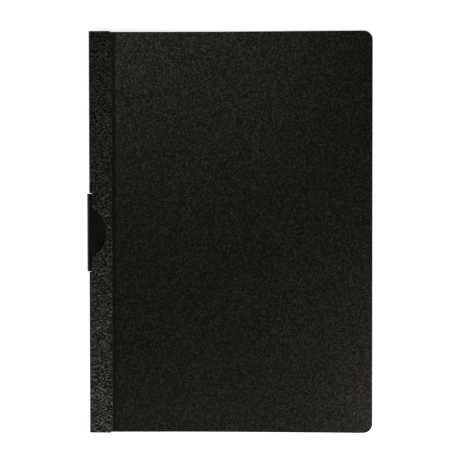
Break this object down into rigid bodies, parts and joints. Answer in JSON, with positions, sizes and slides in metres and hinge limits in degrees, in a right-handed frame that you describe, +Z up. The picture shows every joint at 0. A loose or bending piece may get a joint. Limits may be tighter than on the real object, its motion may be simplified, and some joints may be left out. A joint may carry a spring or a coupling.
{
  "type": "clip folder",
  "caption": "A4 clip folder with grained covers creased beside a folded spine strip, and a spring clip that slides out through a slot with a half-moon thumb cut-out.",
  "frame": {"origin": "on the table, under the middle of the closed folder, clip included", "axes": "+X from the spine towards the opening edge, +Y up the page, +Z up from the table; the folder lies on its back cover"},
  "size_m": [0.2198, 0.31, 0.006],
  "materials": {
    "spine_sheet": "coarse leather grain, satin",
    "cover_sheet": "board with a fine leather-grained film",
    "clip_steel": "smooth dark paint, satin"
  },
  "bodies": {
    "spine": {"spine_wrap": "spine_sheet", "front_hinge_flange": "cover_sheet", "back_hinge_flange": "cover_sheet"},
    "front_cover": {"front_cover": "cover_sheet"},
    "back_cover": {"back_cover": "cover_sheet"},
    "clip": {"clip": "clip_steel"}
  },
  "joints": [
    {"name": "front_crease", "type": "hinge", "parent": "spine", "child": "front_cover", "pos_m": [-0.0894, 0, 0.00592], "axis": [0, -1, 0], "range_deg": [0, 178]},
    {"name": "back_crease", "type": "hinge", "parent": "spine", "child": "back_cover", "pos_m": [-0.0894, 0, 0.00007], "axis": [0, 1, 0], "range_deg": [0, 178]},
    {"name": "clip_slide", "type": "slide", "parent": "spine", "child": "clip", "axis": [-1, 0, 0], "range_m": [0, 0.0115]}
  ]
}
